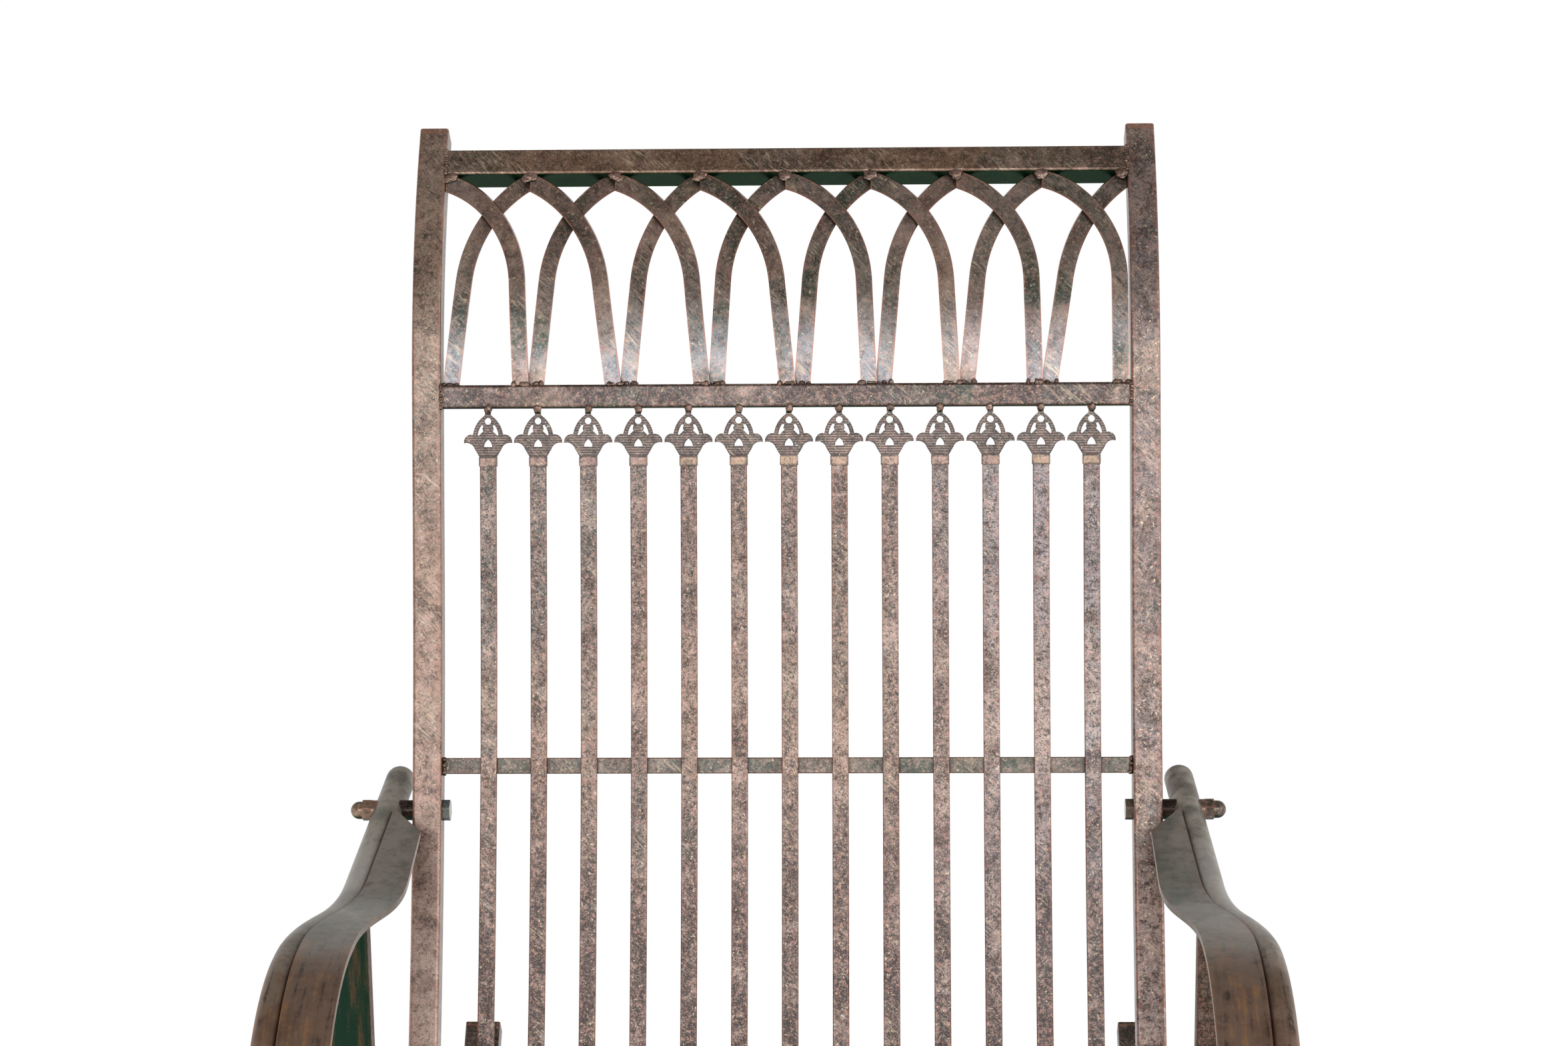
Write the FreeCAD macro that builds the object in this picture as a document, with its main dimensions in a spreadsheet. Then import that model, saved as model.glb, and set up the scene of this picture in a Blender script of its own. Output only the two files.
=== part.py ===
import FreeCAD, Part
import math
import os

import Sketcher

# Rocking chair of square tube, round tube and flat bar iron, in millimetres.
# X runs across the chair, the sitter faces -Y, Z is up and the floor is at zero.
# The origin lies on the floor, in the middle of the chair's length and width.

SIZES = [
    # Side rails: one bent square tube each side, seat and back in one piece
    ("back_width", 516, "over the outer faces of the side rails"),
    ("rail_size", 20, "side of the square tube"),
    ("tube_corner", 2, "outer corner radius of the square tubes"),
    ("seat_front_reach", 357.1, "front end of the side rails, ahead of the balance point"),
    ("seat_front_height", 412.3, "front end of the side rails, above the floor"),
    ("seat_front_angle", 50, "rise of the side rails at their front end, degrees"),
    ("seat_front_run", 12, "straight front ends of the side rails"),
    ("seat_front_radius", 60, "roll at the seat's front edge"),
    ("seat_slope", 4, "fall of the seat towards the back, degrees"),
    ("seat_run", 300, "straight run of the seat"),
    ("seat_bend_radius", 110, "bend from the seat into the back"),
    ("seat_bend_turn", 70, "degrees"),
    ("lumbar_radius", 1610, "gentle curve of the lower back"),
    ("lumbar_turn", 11.5, "degrees"),
    ("back_run", 132.6, "straight run of the back"),
    ("roll_radius", 338, "backward roll at the top"),
    ("roll_turn", 30.75, "degrees"),
    # Rails and bars across the back and the seat
    ("top_rail_turn", 26.6, "place of the top rail along the roll, degrees"),
    ("mid_rail_height", 16.2, "height of the mid rail's tube"),
    ("mid_rail_below_roll", 10.2, "mid rail's middle below the start of the roll"),
    ("mid_rail_set_back", 1, "mid rail's face behind the side rails' faces"),
    ("bar_height", 11, "height of the flat cross bars"),
    ("bar_thickness", 4, "thickness of the flat cross bars"),
    ("cross_bar_below_rail", 255.5, "visible cross bar's middle below the mid rail's middle"),
    ("seat_rear_bar_turn", 30, "rear seat bar's place along the bend, degrees"),
    ("seat_front_bar_back", 24, "front seat bar's place behind the front roll"),
    # Slats, finials and collars
    ("slat_count", 13, "number of slats"),
    ("slat_pitch", 34.7, "spacing of the slats"),
    ("slat_shift", 2.5, "row of slats stands to the right of the middle"),
    ("slat_width", 11.3, "flat bar"),
    ("slat_thickness", 4, "flat bar"),
    ("slat_set_back", 3, "slats' faces behind the side rails' faces"),
    ("slat_corner", 0.8, "rounded edges of the flat bars"),
    ("collar_width", 12.4, "collar between slat and finial"),
    ("collar_height", 6.4, "collar between slat and finial"),
    ("collar_depth", 6.4, "collar between slat and finial"),
    ("collar_seat", 3, "depth of the slat in its collar"),
    ("collar_play", 0.2, "clearance of the slat in its collar"),
    ("finial_thickness", 3.6, "flat casting"),
    ("finial_height", 29, "collar to the foot of the tang"),
    ("finial_span", 33, "over the wing tips"),
    ("finial_foot", 11.6, "width on the collar"),
    ("finial_taper_rise", 5.6, "straight part of the taper above the collar"),
    ("finial_waist", 18.2, "width at the top of the straight taper"),
    ("finial_wing_rise", 9.7, "underside of the wing tips above the collar"),
    ("finial_hood_rise", 15.6, "foot of the pointed hood above the collar"),
    ("finial_hood_width", 20.6, "pointed hood over its foot"),
    ("finial_hood_fullness", 0.78, "hood's width half way up, as a part of its width at the foot"),
    ("finial_band", 2.9, "width of the hood's band"),
    ("finial_eye", 4.7, "round eye under the point"),
    ("finial_eye_rise", 24.8, "middle of the eye above the collar"),
    ("finial_arch_width", 6, "small arched opening"),
    ("finial_arch_rise", 7, "foot of the arched opening above the collar"),
    ("finial_arch_height", 5.3, "small arched opening"),
    ("finial_arch_fullness", 0.78, "its width half way up, as a part of its width at the foot"),
    ("finial_crown_width", 7.6, "small crown under the eye"),
    ("finial_crown_rise", 19.2, "widest part of the crown above the collar"),
    ("finial_neck_width", 6.1, "neck under the crown"),
    ("finial_neck_rise", 18, "neck above the collar"),
    ("finial_loop_top", 22, "top of the side openings above the collar"),
    ("finial_loop_foot", 14.6, "foot of the side openings above the collar"),
    ("finial_loop_spread", 13.2, "between the feet of the side openings"),
    ("tang_width", 3.9, "tang that hangs the finial from the mid rail"),
    ("tang_length", 4.6, "hood to mid rail"),
    # Arch panel
    ("arch_count", 8, "bays of the arch panel"),
    ("arch_bar_width", 11.2, "flat bar"),
    ("arch_bar_thickness", 4, "flat bar"),
    ("arch_bar_edge", 0.5, "rounded edges of the flat bars"),
    ("arch_set_back", 2, "front bars' faces behind the side rails' faces"),
    ("arch_peak_drop", 3.5, "middle line's end at the bay's far edge, below the top rail"),
    ("arch_bend_drop", 64.5, "start of the bend, below the peak"),
    ("arch_bend_inset", 11.1, "start of the bend, in from the edge of the bay"),
    ("arch_foot_inset", 5, "leg's foot, in from the edge of the bay"),
    # Side frames: arm and front leg in one round tube, strip, rear post and rocker
    ("frame_over_balance", -81, "shift of all that the rockers carry, towards the back"),
    ("arm_diameter", 20.3, "round tube"),
    ("arm_end_round", 6, "rounding of the tube's closed rear end"),
    ("arm_gap", 7.1, "spacer between side rail and arm tube"),
    ("arm_bolt_rise", 223.3, "above the front ends of the side rails"),
    ("arm_rear_reach", 50, "closed rear end behind the bolt"),
    ("arm_slope", 10.5, "fall of the arm's rear part towards the front, degrees"),
    ("arm_waist_reach", 140.4, "waist ahead of the bolt"),
    ("arm_waist_out", 6.6, "waist outward of the bolt"),
    ("arm_flare_run", 66.6, "waist to crest, along the chair"),
    ("arm_flare_out", 22.3, "waist to crest, outward"),
    ("arm_flare_rise", 4.5, "waist to crest, upward"),
    ("arm_bend_share", 0.85, "part of the flare that the bends at waist and crest take up"),
    ("arm_front_radius", 140, "bend from the arm into the front leg"),
    ("arm_front_run", 10, "straight run between the crest's bend and the front bend"),
    ("leg_knee_height", 380, "where the front leg turns in towards its rocker"),
    ("strip_thickness", 4, "flat strip beside the arm tube"),
    ("strip_lift", 7.2, "strip's underside above the tube's middle"),
    ("strip_rear_width", 24, "strip at its mitred rear end"),
    ("strip_front_width", 33, "strip from the crest on"),
    ("strip_rear_gap", 9, "strip's rear end ahead of the side rail"),
    ("strip_mitre", 33, "length of the mitre"),
    ("strip_drop_share", 0.5, "strip's end, as a part of the way from the bend to the leg's spacer"),
    ("post_width", 30, "rear post across the chair"),
    ("post_depth", 16, "rear post along the chair"),
    ("post_ahead", 139.5, "rear post ahead of the arm bolt"),
    ("post_cope", 3, "depth of the cope that seats the arm tube on the rear post"),
    ("post_gap", 12, "between side rail and rear post"),
    ("rocker_width", 30, "tube"),
    ("rocker_height", 20, "tube"),
    ("rocker_radius", 950, "underside"),
    ("rocker_front_angle", 29, "front end, degrees from the lowest point"),
    ("rocker_rear_angle", 41.5, "rear end, degrees from the lowest point"),
    ("rocker_end_run", 15, "straight ends"),
    ("cap_thickness", 3, "end plates of the tubes"),
    ("stretcher_diameter", 16, "round tube between the rockers"),
    ("stretcher_front_angle", 10, "front stretcher, degrees ahead of the lowest point"),
    ("stretcher_rear_angle", 16, "rear stretcher, degrees behind the lowest point"),
    # Fasteners
    ("bolt_diameter", 8, "hex bolts"),
    ("bolt_play", 0.2, "clearance of the bolts in their holes, all round"),
    ("bolt_end_gap", 0.4, "end of the bolt to the bottom of the nut's thread"),
    ("hex_across", 13, "bolt heads and nuts, across the flats"),
    ("head_height", 5.3, "bolt heads"),
    ("nut_height", 6.5, "hex part of the acorn nuts"),
    ("nut_length", 15, "acorn nuts over all"),
    ("nut_thread", 10, "depth of the thread"),
    ("nut_dome_step", 0.4, "step between the nut's flats and its dome"),
    ("spacer_diameter", 14, "spacers and washers on the bolts"),
    ("washer_thickness", 1.5, "washers under the nuts"),
]

doc = FreeCAD.newDocument("rocking_chair")
sheet = doc.addObject("Spreadsheet::Sheet", "Sizes")
for row, (alias, value, meaning) in enumerate(SIZES, start=1):
    sheet.set(f"A{row}", meaning)
    sheet.set(f"B{row}", str(value))
    sheet.setAlias(f"B{row}", alias)
doc.recompute()

ACROSS = FreeCAD.Vector(1, 0, 0)
NODES = []


class Dim:
    """A length or angle: its value, and the sheet's expression for it."""

    def __init__(self, value, text):
        self.value = float(value)
        self.text = text

    def __float__(self):
        return self.value

    def joined(self, sign, other, value):
        other_text = other.text if isinstance(other, Dim) else repr(float(other))
        return Dim(value, f"({self.text} {sign} {other_text})")

    def __add__(self, other):
        return self.joined("+", other, self.value + float(other))

    def __sub__(self, other):
        return self.joined("-", other, self.value - float(other))

    def __mul__(self, other):
        return self.joined("*", other, self.value * float(other))

    def __truediv__(self, other):
        return self.joined("/", other, self.value / float(other))


def dim(alias):
    return Dim(sheet.get(alias), f"Sizes.{alias}")


def size(alias):
    return float(sheet.get(alias))


def plain(value):
    """A length that the source works out from the sheet's sizes."""
    return Dim(value, repr(float(value)))


class Route:
    """A bent line in the side view (y, z): straight runs and tangent arcs.

    A move is ("run", length), ("left", radius, turn) or ("right", radius, turn), turns in degrees.
    """

    def __init__(self, start, heading, moves):
        self.start = start
        self.heading = heading
        self.moves = moves
        self.pieces = []
        place = (*start, math.radians(float(heading)))
        for kind, *values in moves:
            bend = {"run": 0, "left": 1, "right": -1}[kind]
            radius = float(values[0])
            length = radius if kind == "run" else radius * math.radians(float(values[1]))
            self.pieces.append((bend, radius, length, place))
            place = self.advance(bend, radius, place, length)
        self.length = sum(piece[2] for piece in self.pieces)

    @staticmethod
    def advance(bend, radius, place, distance):
        """The place (y, z, heading) a distance along one piece of the route."""
        y, z, angle = place
        if not bend:
            return (y + distance * math.cos(angle), z + distance * math.sin(angle), angle)
        turned = angle + bend * distance / radius
        y += bend * radius * (math.sin(turned) - math.sin(angle))
        z += bend * radius * (math.cos(angle) - math.cos(turned))
        return (y, z, turned)

    def at(self, distance):
        """The place (y, z, heading) a distance along the whole route."""
        for bend, radius, length, place in self.pieces[:-1]:
            if distance <= length:
                return self.advance(bend, radius, place, distance)
            distance -= length
        bend, radius, _, place = self.pieces[-1]
        return self.advance(bend, radius, place, distance)

    def begin(self, index):
        """Distance along the route at which a move begins."""
        return sum(piece[2] for piece in self.pieces[:index])

    def find(self, axis, target, low, high):
        """Distance at which y (axis 0) or z (axis 1), rising between low and high, reaches a target."""
        for _ in range(60):
            middle = (low + high) / 2
            if self.at(middle)[axis] < target:
                low = middle
            else:
                high = middle
        return middle

    def beside(self, lift, moves=None):
        """The route that runs a lift to the left of this one, as far as the given moves go."""
        angle = math.radians(float(self.heading))
        y, z = self.start
        start = (y - float(lift) * math.sin(angle), z + float(lift) * math.cos(angle))
        shifted = []
        for kind, *values in moves or self.moves:
            if kind == "left":
                values[0] = values[0] - lift
            if kind == "right":
                values[0] = values[0] + lift
            shifted.append((kind, *values))
        return Route(start, self.heading, shifted)


def on_route(route, distance, x=0, lift=0):
    """Placement at a distance along a route, with its own Z along the route and -Y to the left."""
    y, z, angle = route.at(distance)
    base = FreeCAD.Vector(x, y - lift * math.sin(angle), z + lift * math.cos(angle))
    return FreeCAD.Placement(base, FreeCAD.Rotation(ACROSS, math.degrees(angle) - 90))


def new_body(label):
    body = doc.addObject("PartDesign::Body", "Body")
    body.Label = label
    return body


def new_sketch(body, role):
    """A sketch on one of the body's own origin planes."""
    sketch = body.newObject("Sketcher::SketchObject", "Sketch")
    plane = [feature for feature in body.Origin.OriginFeatures if feature.Role == role][0]
    sketch.AttachmentSupport = [(plane, "")]
    sketch.MapMode = "FlatFace"
    return sketch


def constrain(sketch, amount, kind, *places):
    """A dimension of a sketch, tied to the sheet."""
    value = math.radians(float(amount)) if kind == "Angle" else float(amount)
    index = sketch.addConstraint(Sketcher.Constraint(kind, *places, value))
    sketch.setExpression(f"Constraints[{index}]", amount.text)


def draw_route(body, route):
    """The route as a sketch in the side view."""
    sketch = new_sketch(body, "YZ_Plane")
    ends = []
    for (bend, radius, length, place), (kind, *values) in zip(route.pieces, route.moves):
        y, z, angle = place
        begin = FreeCAD.Vector(y, z, 0)
        if kind == "run":
            end = FreeCAD.Vector(*Route.advance(bend, radius, place, length)[:2], 0)
            line = sketch.addGeometry(Part.LineSegment(begin, end))
            constrain(sketch, values[0], "Distance", line)
            ends.append((line, 1, 2))
            continue
        middle = begin + FreeCAD.Vector(-math.sin(angle), math.cos(angle), 0) * bend * radius
        circle = Part.Circle(middle, FreeCAD.Vector(0, 0, 1), radius)
        first = angle - bend * math.pi / 2
        last = first + bend * length / radius
        arc = sketch.addGeometry(Part.ArcOfCircle(circle, min(first, last), max(first, last)))
        constrain(sketch, values[0], "Radius", arc)
        constrain(sketch, values[1], "Angle", arc)
        ends.append((arc, 1, 2) if bend > 0 else (arc, 2, 1))
    for (before, _, out_end), (after, in_end, _) in zip(ends, ends[1:]):
        sketch.addConstraint(Sketcher.Constraint("Tangent", before, out_end, after, in_end))
    first_line = ends[0][0]
    sketch.addConstraint(Sketcher.Constraint("DistanceX", first_line, 1, route.start[0]))
    sketch.addConstraint(Sketcher.Constraint("DistanceY", first_line, 1, route.start[1]))
    sketch.addConstraint(Sketcher.Constraint("Angle", first_line, math.radians(float(route.heading))))
    return sketch


def draw_rounded_rectangle(sketch, width, height, corner):
    """A rectangle about the sketch's origin, with rounded corners."""
    half_x = float(width) / 2
    half_y = float(height) / 2
    radius = float(corner)
    lines = []
    arcs = []
    for quarter in range(4):
        along = FreeCAD.Vector(math.cos(quarter * math.pi / 2), math.sin(quarter * math.pi / 2), 0)
        out = FreeCAD.Vector(along.y, -along.x, 0)
        reach, inset = (half_x, half_y) if quarter % 2 == 0 else (half_y, half_x)
        begin = out * inset - along * (reach - radius)
        end = out * inset + along * (reach - radius)
        lines.append(sketch.addGeometry(Part.LineSegment(begin, end)))
        circle = Part.Circle(end - out * radius, FreeCAD.Vector(0, 0, 1), radius)
        first = (quarter - 1) * math.pi / 2
        arcs.append(sketch.addGeometry(Part.ArcOfCircle(circle, first, first + math.pi / 2)))
    for quarter in range(4):
        sketch.addConstraint(Sketcher.Constraint("Tangent", lines[quarter], 2, arcs[quarter], 1))
        sketch.addConstraint(Sketcher.Constraint("Tangent", arcs[quarter], 2, lines[(quarter + 1) % 4], 1))
        if quarter:
            sketch.addConstraint(Sketcher.Constraint("Equal", arcs[0], arcs[quarter]))
    sketch.addConstraint(Sketcher.Constraint("Horizontal", lines[0]))
    sketch.addConstraint(Sketcher.Constraint("Vertical", lines[1]))
    constrain(sketch, corner, "Radius", arcs[0])
    constrain(sketch, height / 2, "DistanceY", -1, 1, lines[2], 1)
    constrain(sketch, width / 2, "DistanceX", -1, 1, lines[1], 1)
    constrain(sketch, height / 2, "DistanceY", lines[0], 1, -1, 1)
    constrain(sketch, width / 2, "DistanceX", lines[3], 1, -1, 1)


def bent_bar(label, route, width, depth, corner):
    """A bar of rounded rectangular section, swept along a route."""
    body = new_body(label)
    path = draw_route(body, route)
    doc.recompute()
    start = FreeCAD.Vector(0, *route.start)
    for number, edge in enumerate(path.Shape.Edges, start=1):
        gaps = [vertex.Point.distanceToPoint(start) for vertex in edge.Vertexes]
        if min(gaps) < 1e-6:
            first_edge = f"Edge{number}"
            at_start = gaps.index(min(gaps))
    section = body.newObject("Sketcher::SketchObject", "Section")
    section.AttachmentSupport = [(path, first_edge)]
    section.MapMode = "NormalToEdge"
    section.MapPathParameter = float(at_start)
    draw_rounded_rectangle(section, width, depth, corner)
    sweep = body.newObject("PartDesign::AdditivePipe", "Sweep")
    sweep.Profile = section
    sweep.Spine = (path, [])
    return body


def straight_bar(label, role, width, depth, corner, length, centred=True):
    """A bar of rounded rectangular section, straight out of one of the body's origin planes."""
    body = new_body(label)
    sketch = new_sketch(body, role)
    draw_rounded_rectangle(sketch, width, depth, corner)
    pad = body.newObject("PartDesign::Pad", "Pad")
    pad.Profile = sketch
    pad.Midplane = centred
    pad.setExpression("Length", length.text)
    return body


def rounded_edges(points, radii, closed=False):
    """Lines between points, with tangent arcs of the given radii at the corners."""
    count = len(points)
    starts = []
    ends = []
    arcs = []
    for index, (point, radius) in enumerate(zip(points, radii)):
        if radius == 0:
            starts.append(point)
            ends.append(point)
            arcs.append(None)
            continue
        back = (points[index - 1] - point).normalize()
        ahead = (points[(index + 1) % count] - point).normalize()
        half = back.getAngle(ahead) / 2
        reach = radius / math.tan(half)
        middle_line = (back + ahead).normalize()
        middle = point + middle_line * (radius / math.sin(half) - radius)
        starts.append(point + back * reach)
        ends.append(point + ahead * reach)
        arcs.append(Part.ArcOfCircle(starts[-1], middle, ends[-1]))
    edges = []
    for index in range(count):
        if arcs[index]:
            edges.append(arcs[index])
        if index + 1 < count or closed:
            edges.append(Part.LineSegment(ends[index], starts[(index + 1) % count]))
    return edges


def beside_points(points, distance):
    """Corner points of the line that runs a distance to the left of a bent line in plan."""
    moved = []
    for index, point in enumerate(points):
        before = points[index] - points[index - 1] if index else points[1] - points[0]
        after = points[index + 1] - point if index + 1 < len(points) else before
        before.normalize()
        after.normalize()
        normal = FreeCAD.Vector(-before.y - after.y, before.x + after.x, 0).normalize()
        moved.append(point + normal * (distance / math.cos(before.getAngle(after) / 2)))
    return moved


def padded_outline(label, role, outlines, length):
    """A body padded both ways from a sketch of closed outlines."""
    body = new_body(label)
    sketch = new_sketch(body, role)
    for outline in outlines:
        for edge in outline:
            sketch.addGeometry(edge)
    pad = body.newObject("PartDesign::Pad", "Pad")
    pad.Profile = sketch
    pad.Midplane = True
    pad.setExpression("Length", length.text)
    return body, sketch, pad


def primitive(kind, placement, **sizes):
    """A Part primitive with its sizes tied to the sheet."""
    shape = doc.addObject(f"Part::{kind}", kind)
    for name, amount in sizes.items():
        shape.setExpression(name, amount.text)
    shape.Placement = placement
    return shape


def combine(kind, base, tool):
    """A cut or a common of two objects."""
    result = doc.addObject(f"Part::{kind}", kind)
    result.Base = base
    result.Tool = tool
    return result


def gather(kind, pieces):
    """Several objects fused, or held together as one group."""
    result = doc.addObject(f"Part::{kind}", kind)
    if kind == "Compound":
        result.Links = pieces
    else:
        result.Shapes = pieces
    return result


def node(label, feature):
    """Names a finished sub-part."""
    feature.Label = label
    NODES.append(feature)
    return feature


def outward(side, x, y, z):
    """Placement at a point, with its own Z pointing out of the chair's side."""
    turn = FreeCAD.Rotation(FreeCAD.Vector(0, 1, 0), 90 * side)
    return FreeCAD.Placement(FreeCAD.Vector(side * x, y, z), turn)


SIDES = [("left", -1), ("right", 1)]

# Rockers: their lowest point is the chair's balance point, and their ends set the chair's length
rocker_middle = dim("rocker_radius") - dim("rocker_height") / 2
front_angle = math.radians(size("rocker_front_angle"))
rear_angle = math.radians(size("rocker_rear_angle"))
end_run = size("rocker_end_run") + size("cap_thickness")
half_rocker = size("rocker_height") / 2
front_tip = rocker_middle.value * math.sin(front_angle)
front_tip += end_run * math.cos(front_angle) + half_rocker * math.sin(front_angle)
rear_tip = rocker_middle.value * math.sin(rear_angle)
rear_tip += end_run * math.cos(rear_angle) + half_rocker * math.sin(rear_angle)
balance_y = (front_tip - rear_tip) / 2
frame_y = balance_y + size("frame_over_balance")

rocker_start = (
    balance_y - rocker_middle.value * math.sin(front_angle) - size("rocker_end_run") * math.cos(front_angle),
    half_rocker + rocker_middle.value * (1 - math.cos(front_angle))
    + size("rocker_end_run") * math.sin(front_angle),
)
rocker_route = Route(rocker_start, -size("rocker_front_angle"), [
    ("run", dim("rocker_end_run")),
    ("left", rocker_middle, dim("rocker_front_angle") + dim("rocker_rear_angle")),
    ("run", dim("rocker_end_run")),
])
rocker_spread = dim("back_width") + dim("post_gap") * 2 + dim("post_width")
rocker_x = rocker_spread.value / 2
rockers = {}
rocker_section = (dim("rocker_width"), dim("rocker_height"), dim("tube_corner"))
for name, side in SIDES:
    rocker = bent_bar("rocker", rocker_route, *rocker_section)
    rocker.Placement.Base = FreeCAD.Vector(side * rocker_x, 0, 0)
    rockers[name] = node(f"rocker_{name}", rocker)


def end_caps(label, route, section, x):
    """Plates that close both ends of a pair of bent tubes."""
    caps = []
    for _, side in SIDES:
        for distance in (-size("cap_thickness"), route.length):
            cap = straight_bar("cap", "XY_Plane", *section, dim("cap_thickness"), centred=False)
            cap.Placement = on_route(route, distance, side * x)
            caps.append(cap)
    node(label, gather("Compound", caps))


end_caps("rocker_caps", rocker_route, rocker_section, rocker_x)

stretcher_length = rocker_spread - dim("rocker_width")
lowest = rocker_route.begin(1) + rocker_middle.value * front_angle
for name, angle in (("front", -size("stretcher_front_angle")), ("rear", size("stretcher_rear_angle"))):
    y, z, _ = rocker_route.at(lowest + rocker_middle.value * math.radians(angle))
    stretcher = primitive(
        "Cylinder", outward(1, -stretcher_length.value / 2, y, z),
        Radius=dim("stretcher_diameter") / 2, Height=stretcher_length,
    )
    node(f"stretcher_{name}", stretcher)

# Side rails: seat and back in one bent tube each side
rail_moves = {
    "front_end": ("run", dim("seat_front_run")),
    "front_roll": ("right", dim("seat_front_radius"), dim("seat_front_angle") + dim("seat_slope")),
    "seat": ("run", dim("seat_run")),
    "seat_bend": ("left", dim("seat_bend_radius"), dim("seat_bend_turn")),
    "lumbar": ("left", dim("lumbar_radius"), dim("lumbar_turn")),
    "back": ("run", dim("back_run")),
    "roll": ("right", dim("roll_radius"), dim("roll_turn")),
}
rail_start = (frame_y - size("seat_front_reach"), size("seat_front_height"))
rail = Route(rail_start, size("seat_front_angle"), list(rail_moves.values()))
seat_at, bend_at, roll_at = (
    rail.begin(list(rail_moves).index(name)) for name in ("seat", "seat_bend", "roll")
)
rail_size = dim("rail_size")
rail_section = (rail_size, rail_size, dim("tube_corner"))
rail_x = (size("back_width") - size("rail_size")) / 2
inner_width = dim("back_width") - rail_size * 2
rail_outer_x = size("back_width") / 2
rail_inner_x = rail_outer_x - size("rail_size")
mid_rail_at = roll_at - size("mid_rail_below_roll")

# Line of the arms: from the closed rear end past the bolt, over waist and crest, and down as the front leg
arm_bolt_at = rail.find(1, size("seat_front_height") + size("arm_bolt_rise"), bend_at, rail.length)
bolt_y, bolt_z, _ = rail.at(arm_bolt_at)
arm_radius = size("arm_diameter") / 2
arm_x = rail_outer_x + size("arm_gap") + arm_radius
fall = math.tan(math.radians(size("arm_slope")))
drift = size("arm_waist_out") / size("arm_waist_reach")
rear_reach = size("arm_rear_reach")
waist_reach = size("arm_waist_reach")
front_radius = size("arm_front_radius")
rear_end = FreeCAD.Vector(arm_x - drift * rear_reach, bolt_y + rear_reach, bolt_z + rear_reach * fall)
waist = FreeCAD.Vector(arm_x + size("arm_waist_out"), bolt_y - waist_reach, bolt_z - waist_reach * fall)
flare = FreeCAD.Vector(size("arm_flare_out"), -size("arm_flare_run"), size("arm_flare_rise"))
crest = waist + flare
waist_bend = math.tan((waist - rear_end).getAngle(flare) / 2)
crest_bend = math.tan(flare.getAngle(FreeCAD.Vector(0, -1, 0)) / 2)
bend_radius = size("arm_bend_share") * flare.Length / (waist_bend + crest_bend)
leg_y = crest.y - crest_bend * bend_radius - size("arm_front_run") - front_radius
leg_foot_z = rocker_route.at(rocker_route.find(0, leg_y, 0, rocker_route.length))[1]
arm_corners = [
    rear_end,
    waist,
    crest,
    FreeCAD.Vector(crest.x, leg_y, crest.z),
    FreeCAD.Vector(crest.x, leg_y, size("leg_knee_height")),
    FreeCAD.Vector(rocker_x, leg_y, leg_foot_z),
]
arm_radii = [0, bend_radius, bend_radius, front_radius, bend_radius, 0]
post_y = bolt_y - size("post_ahead")
post_bolt_at = rail.find(0, post_y, 0, rail.length)
leg_bolt_at = rail.find(0, leg_y, 0, rail.length)

hole_radius = dim("bolt_diameter") / 2 + dim("bolt_play")
holes = []
for distance in (arm_bolt_at, post_bolt_at, leg_bolt_at):
    y, z, _ = rail.at(distance)
    hole_place = outward(1, -rocker_spread.value, y, z)
    holes.append(primitive("Cylinder", hole_place, Radius=hole_radius, Height=rocker_spread * 2))
bolt_holes = gather("Compound", holes)

for name, side in SIDES:
    tube = bent_bar("rail_tube", rail, *rail_section)
    tube.Placement.Base = FreeCAD.Vector(side * rail_x, 0, 0)
    node(f"side_rail_{name}", combine("Cut", tube, bolt_holes))
end_caps("rail_caps", rail, rail_section, rail_x)


def cross_piece(label, distance, lift, depth, height, corner):
    """A straight bar between the side rails."""
    bar = straight_bar(label, "YZ_Plane", depth, height, corner, inner_width)
    bar.Placement = on_route(rail, distance, 0, float(lift))
    return node(label, bar)


top_rail_at = roll_at + size("roll_radius") * math.radians(size("top_rail_turn"))
slat_lift = rail_size / 2 - dim("slat_set_back") - dim("slat_thickness") / 2
bar_lift = slat_lift - (dim("slat_thickness") + dim("bar_thickness")) / 2
mid_rail_lift = (rail_size - dim("mid_rail_height")) / 2 - dim("mid_rail_set_back")
bar_section = (dim("bar_thickness"), dim("bar_height"), dim("slat_corner"))
mid_rail_section = (dim("mid_rail_height"), dim("mid_rail_height"), dim("tube_corner"))
cross_piece("top_rail", top_rail_at, 0, *rail_section)
cross_piece("mid_rail", mid_rail_at, mid_rail_lift, *mid_rail_section)
cross_piece("back_cross_bar", mid_rail_at - size("cross_bar_below_rail"), bar_lift, *bar_section)
seat_rear_bar_at = bend_at + size("seat_bend_radius") * math.radians(size("seat_rear_bar_turn"))
cross_piece("seat_rear_bar", seat_rear_bar_at, bar_lift, *bar_section)
cross_piece("seat_front_bar", seat_at + size("seat_front_bar_back"), bar_lift, *bar_section)

# Slats: flat bars that run along the seat, round the bend and up the back
mid_rail_underside = dim("mid_rail_below_roll") + dim("mid_rail_height") / 2
finial_room = mid_rail_underside + dim("tang_length") + dim("finial_height")
collar_below_roll = finial_room + dim("collar_height")
slat_end_run = dim("back_run") - collar_below_roll + dim("collar_seat")
slat_moves = {**rail_moves, "back": ("run", slat_end_run)}
del slat_moves["roll"]
slat_route = rail.beside(slat_lift, list(slat_moves.values()))
slat_count = int(size("slat_count"))
first_slat_x = size("slat_shift") - size("slat_pitch") * (slat_count - 1) / 2
for number in range(slat_count):
    label = f"slat_{number + 1:02d}"
    slat = bent_bar(label, slat_route, dim("slat_width"), dim("slat_thickness"), dim("slat_corner"))
    slat.Placement.Base = FreeCAD.Vector(first_slat_x + number * size("slat_pitch"), 0, 0)
    node(label, slat)


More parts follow.
